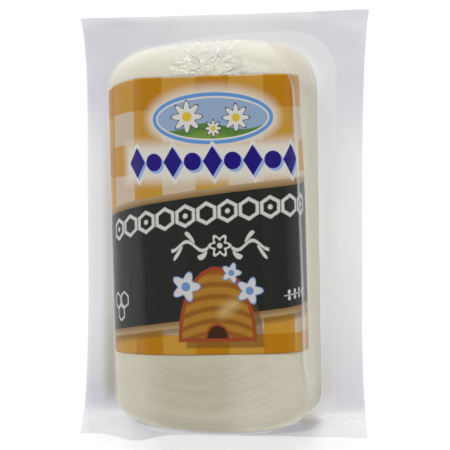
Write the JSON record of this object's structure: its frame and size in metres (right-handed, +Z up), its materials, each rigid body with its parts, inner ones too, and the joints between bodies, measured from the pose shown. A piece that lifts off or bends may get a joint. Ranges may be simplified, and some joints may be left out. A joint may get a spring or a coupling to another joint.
{
  "type": "fresh goat cheese log in a clear sealed pack",
  "caption": "Fresh honey goat cheese log with a printed paper band, drawn tight in a clear sealed pack with a flat rim.",
  "frame": {"origin": "middle of the pack's footprint, on the surface that it lies on", "axes": "+Y along the log towards its gathered top end, +Z up out of the front, +X to the right as the front is read"},
  "size_m": [0.0626, 0.0926, 0.041],
  "materials": {
    "pack": "clear glossy film drawn over soft off-white cheese, with a printed band round the middle"
  },
  "bodies": {
    "root": {"sealed_pack": "pack"}
  },
  "joints": []
}
